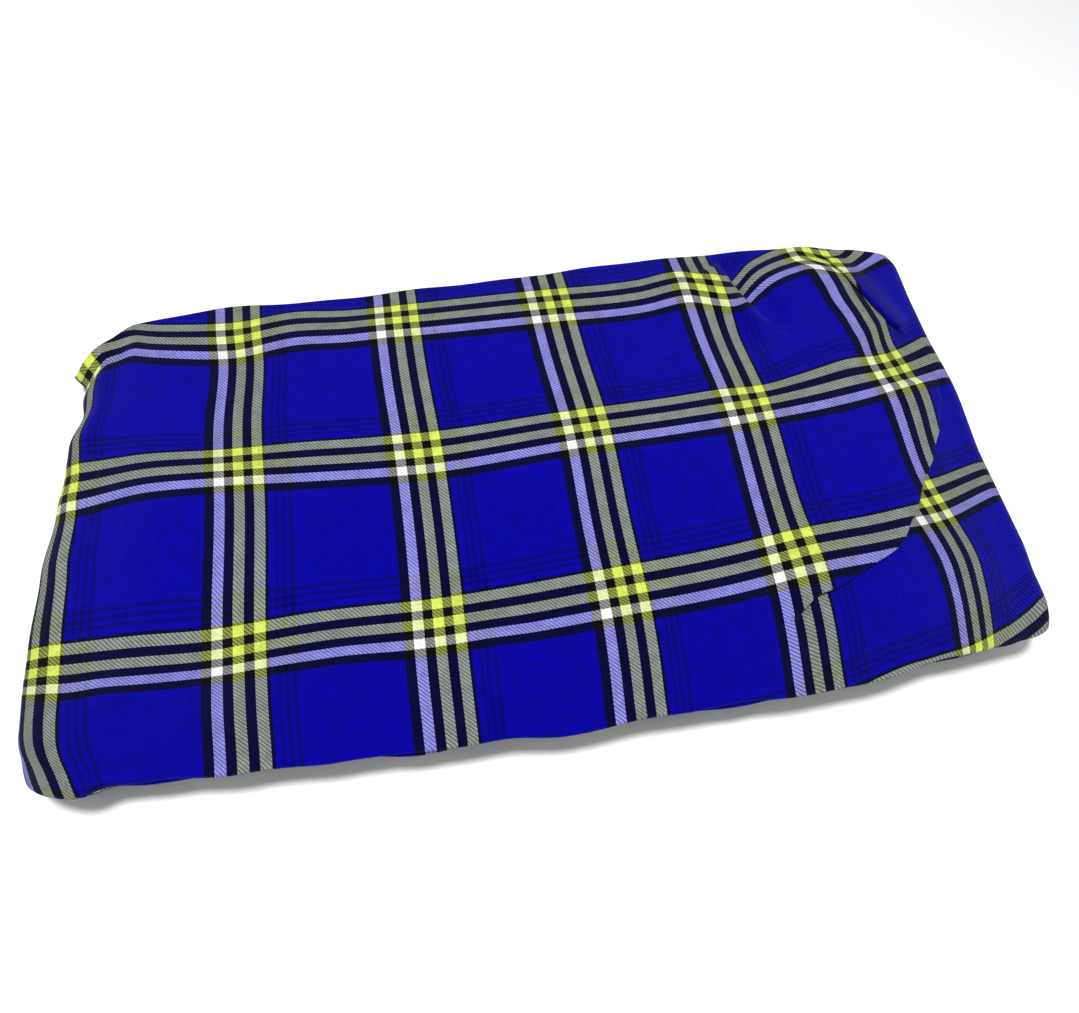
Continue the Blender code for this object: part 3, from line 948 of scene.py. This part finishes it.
@dataclass
class FoldedShuka:
    """The folded cloth, from its flat check to the finished packet."""

    name: str = "shuka_cloth"
    flat_size: tuple[float, float] = (2.0, 1.4)
    strip: Strip = field(default_factory=Strip)
    tucks: tuple[Tuck, ...] = (
        Tuck(),
        Tuck(centre=(0.009, 0.0505), hidden=0.010, rise=0.025, spread=0.10,
             edge=((0.10, 0.1530), (0.23, 0.1450), (0.31, 0.1408), (0.38, 0.1405), (0.46, 0.1440),
                   (0.54, 0.1515)),
             hold=((0.10, 0.0), (0.22, 0.5), (0.34, 1.0), (0.46, 1.0), (0.53, 0.0))),
        Tuck(centre=(0.358, 0.147), hidden=0.009, rise=0.020, spread=0.08,
             edge=((-2.95, 0.1528), (-2.87, 0.1507), (-2.76, 0.1499), (-2.65, 0.1512), (-2.56, 0.1531)),
             hold=((-3.01, 0.0), (-2.93, 1.0), (-2.62, 0.8), (-2.50, 0.0))))
    hand: HandFold = field(default_factory=HandFold)
    check: CheckPlace = field(default_factory=CheckPlace)
    weave: CheckWeave = field(default_factory=CheckWeave)

    def build(self) -> bpy.types.Object:
        """Builds the cloth and weaves its check."""
        points, faces = self.strip.sweep()
        mesh = self._cut_for_tucks(points, faces)
        points = self._points_of(mesh)
        straight = points.place[:, :2].copy()
        for tuck in self.tucks:
            tuck.fold(points, straight, self.strip.sizes.ply_thickness)
        self.hand.apply(points)
        points.place[:, :2] -= (points.place[:, :2].min(axis=0) + points.place[:, :2].max(axis=0)) / 2
        points.place[:, 2] -= min(0.0, points.place[:, 2].min())
        mesh.vertices.foreach_set("co", points.place.astype(np.float32).ravel())
        self._lay_check(mesh, points)
        mesh.polygons.foreach_set("use_smooth", np.ones(len(mesh.polygons), bool))
        mesh.materials.append(self.weave.build())
        mesh.validate()
        mesh.update()
        cloth = bpy.data.objects.new(self.name, mesh)
        bpy.context.scene.collection.objects.link(cloth)
        log.info("%s: %d points, %d faces", self.name, len(mesh.vertices), len(mesh.polygons))
        return cloth

    def _cut_for_tucks(self, points: ClothPoints, faces: list[tuple[int, ...]]) -> bpy.types.Mesh:
        """Makes the mesh, with edges on its top ply that run along the tucks.

        Args:
            points: the points of the straight packet.
            faces: the faces between them.

        Returns:
            The mesh, whose attributes hold each point's place on the flat cloth and its side.
        """
        data = bpy.data.meshes.new(self.name)
        data.from_pydata(points.place.tolist(), [], faces)
        notes = {"along": points.cloth[:, 0], "across": points.cloth[:, 1], "side": points.side}
        for name, values in notes.items():
            note = data.attributes.new(name, "FLOAT", "POINT")
            note.data.foreach_set("value", values.astype(np.float32))
        mesh = bmesh.new()
        mesh.from_mesh(data)
        for tuck in self.tucks:
            self._cut_along(mesh, tuck)
        mesh.to_mesh(data)
        mesh.free()
        return data

    def _cut_along(self, mesh: bmesh.types.BMesh, tuck: Tuck) -> None:
        """Gives the top ply edges at each of a tuck's levels, wherever the tuck holds."""
        side = mesh.verts.layers.float["side"]
        top = [vert for vert in mesh.verts if abs(vert[side]) > 0.5]
        past, _, hold = tuck.measure(np.array([vert.co[:2] for vert in top]))
        near = (np.abs(past) < 4 * self.strip.coarse_step) & (hold > 0)
        distance = {top[index]: past[index] for index in np.flatnonzero(near)}
        for level in tuck.levels():
            crossing = []
            for edge in dict.fromkeys(edge for vert in distance for edge in vert.link_edges):
                first, second = edge.verts
                if first not in distance or second not in distance or first[side] != second[side]:
                    continue
                if (distance[first] - level) * (distance[second] - level) < 0:
                    crossing.append(edge)
            fresh = []
            for edge in crossing:
                first, second = edge.verts
                share = (level - distance[first]) / (distance[second] - distance[first])
                vert = bmesh.utils.edge_split(edge, first, share)[1]
                distance[vert] = level
                fresh.append(vert)
            bmesh.ops.connect_verts(mesh, verts=fresh)

    @staticmethod
    def _points_of(mesh: bpy.types.Mesh) -> ClothPoints:
        """Reads the points of the cloth back from its mesh."""
        count = len(mesh.vertices)
        place = np.zeros(3 * count, np.float32)
        mesh.vertices.foreach_get("co", place)
        parts = []
        for name in ("along", "across", "side"):
            values = np.zeros(count, np.float32)
            mesh.attributes[name].data.foreach_get("value", values)
            parts.append(values.astype(float))
            mesh.attributes.remove(mesh.attributes[name])
        along, across, side = parts
        cloth = np.stack((along, across), axis=1)
        return ClothPoints(place.astype(float).reshape(-1, 3), cloth, np.round(side))

    def _lay_check(self, mesh: bpy.types.Mesh, points: ClothPoints) -> None:
        """Writes each point's place in the check to the mesh's UV map."""
        place = self.check.weave_place(points.cloth, self.tucks)
        corners = np.zeros(len(mesh.loops), np.int32)
        mesh.loops.foreach_get("vertex_index", corners)
        layer = mesh.uv_layers.new(name=self.weave.uv_map)
        layer.data.foreach_set("uv", place[corners].astype(np.float32).ravel())


@dataclass(frozen=True)
class WhiteFloor:
    """The floor's plain matt white."""

    colour: Colour = (0.97, 0.97, 0.97, 1.0)
    roughness: float = 0.9
    specular: float = 0.1

    def build(self) -> bpy.types.Material:
        """Makes the material of the floor."""
        finish = Finish("white_floor")
        finish.feed(finish.shader, {
            "Base Color": self.colour, "Roughness": self.roughness, "Specular IOR Level": self.specular})
        return finish.material


@dataclass
class Studio:
    """The plain white floor, the soft light and the camera."""

    floor_size: float = 6.0
    floor_finish: WhiteFloor = WhiteFloor()
    camera_place: tuple[float, float, float] = (-0.0424, -0.1968, 0.3954)
    camera_target: tuple[float, float, float] = (0.0012, -0.0257, 0.0360)
    camera_roll: float = 4.2
    camera_lens: float = 26.0
    sensor: float = 36.0
    sky_strength: float = 0.42
    key_power: float = 13.5
    key_place: tuple[float, float, float] = (-0.08, -0.03, 1.20)
    key_size: float = 0.20

    def build(self) -> None:
        """Builds the floor, the lights and the camera."""
        self._floor()
        self._lights()
        self._camera()
        view = bpy.context.scene.view_settings
        view.view_transform = "Standard"

    def _floor(self) -> None:
        """A large white floor."""
        half = self.floor_size / 2
        data = bpy.data.meshes.new("floor")
        corners = [(-half, -half, 0.0), (half, -half, 0.0), (half, half, 0.0), (-half, half, 0.0)]
        data.from_pydata(corners, [], [(0, 1, 2, 3)])
        data.materials.append(self.floor_finish.build())
        floor = bpy.data.objects.new("floor", data)
        bpy.context.scene.collection.objects.link(floor)

    def _lights(self) -> None:
        """Even light from all round, and one small soft light from almost straight above."""
        world = bpy.data.worlds.new("studio")
        world.use_nodes = True
        background = world.node_tree.nodes["Background"]
        background.inputs["Color"].default_value = (1.0, 1.0, 1.0, 1.0)
        background.inputs["Strength"].default_value = self.sky_strength
        bpy.context.scene.world = world
        data = bpy.data.lights.new("key", "AREA")
        data.shape = "DISK"
        data.size = self.key_size
        data.energy = self.key_power
        key = bpy.data.objects.new("key", data)
        key.location = self.key_place
        key.rotation_euler = (Vector(self.key_place)).to_track_quat("Z", "Y").to_euler()
        bpy.context.scene.collection.objects.link(key)

    def _camera(self) -> None:
        """The camera at the photograph's viewing angle."""
        place, target = Vector(self.camera_place), Vector(self.camera_target)
        back = (place - target).normalized()
        right = Vector((0.0, 0.0, 1.0)).cross(back).normalized()
        turned = Matrix.Rotation(math.radians(self.camera_roll), 3, back) @ right
        up = back.cross(turned)
        axes = Matrix((turned, up, back)).transposed().to_4x4()
        data = bpy.data.cameras.new("camera")
        data.lens = self.camera_lens
        data.sensor_width = self.sensor
        data.clip_start = 0.01
        camera = bpy.data.objects.new("camera", data)
        camera.matrix_world = Matrix.Translation(place) @ axes
        bpy.context.scene.collection.objects.link(camera)
        bpy.context.scene.camera = camera


def main() -> None:
    """Builds the cloth and the studio, hides the CAD model's cloth and puts the new one in its place."""
    logging.basicConfig(level=logging.INFO, format="%(name)s: %(message)s")
    Studio().build()
    shuka = FoldedShuka()
    cloth = shuka.build()
    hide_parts("folded_cloth")
    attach(cloth, "root")


if __name__ == "__main__":
    main()
